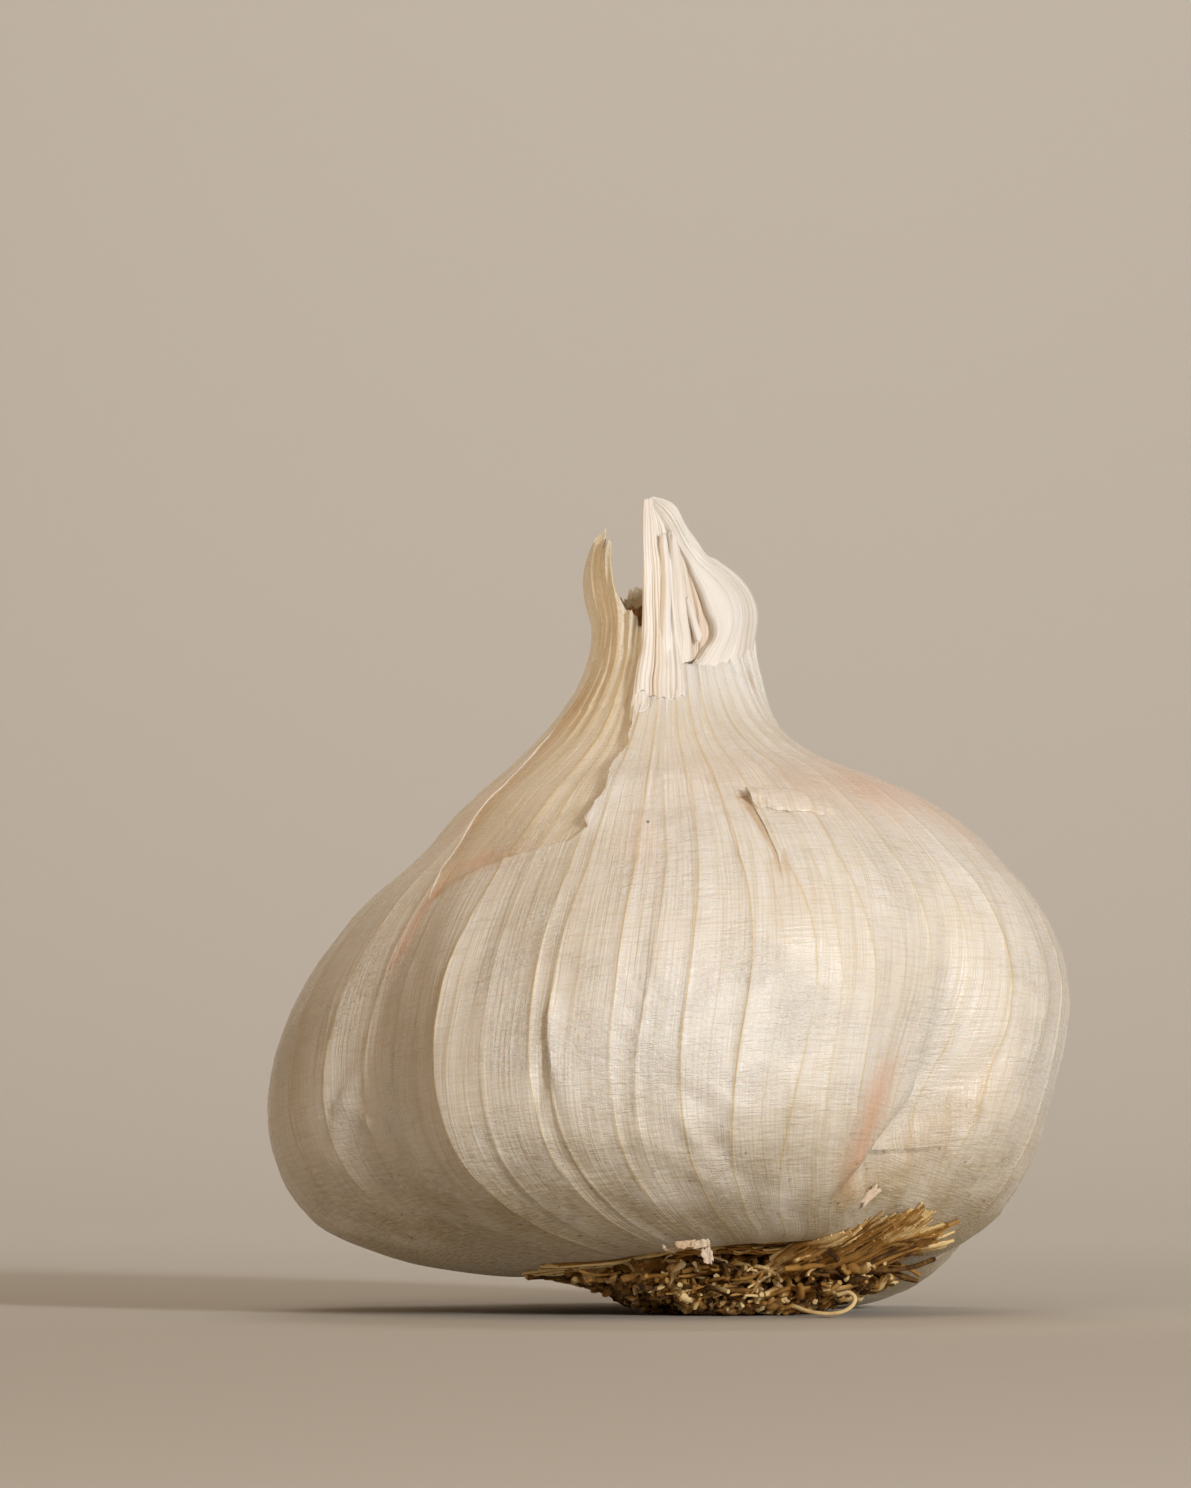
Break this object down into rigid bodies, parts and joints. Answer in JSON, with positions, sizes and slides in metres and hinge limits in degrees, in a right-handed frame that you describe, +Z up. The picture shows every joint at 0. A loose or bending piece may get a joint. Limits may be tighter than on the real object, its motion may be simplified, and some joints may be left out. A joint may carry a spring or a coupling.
{
  "type": "garlic bulb",
  "caption": "Whole dry garlic bulb in papery skin, with ribbed veins, cloves showing as lobes, a torn dry neck and a pad of trimmed roots under its plate.",
  "frame": {"origin": "on the surface the bulb rests on, under the middle of its root plate, at the flat spot of the trimmed roots", "axes": "+Z up; the bulb's front, as pictured, faces -Y; +X is to the viewer's right; the neck leans 8.5 degrees towards +Y and 4.8 degrees towards -X"},
  "size_m": [0.0641, 0.0647, 0.0654],
  "materials": {
    "skin": "dry papery skin, satin, cream with pale yellow veins",
    "dry_stalk": "dried brown stalk, matte and ragged",
    "dry_roots": "dried trimmed roots, matte, brown"
  },
  "bodies": {
    "root": {"bulb": "skin", "stem_stub": "dry_stalk", "roots": "dry_roots"}
  },
  "joints": []
}
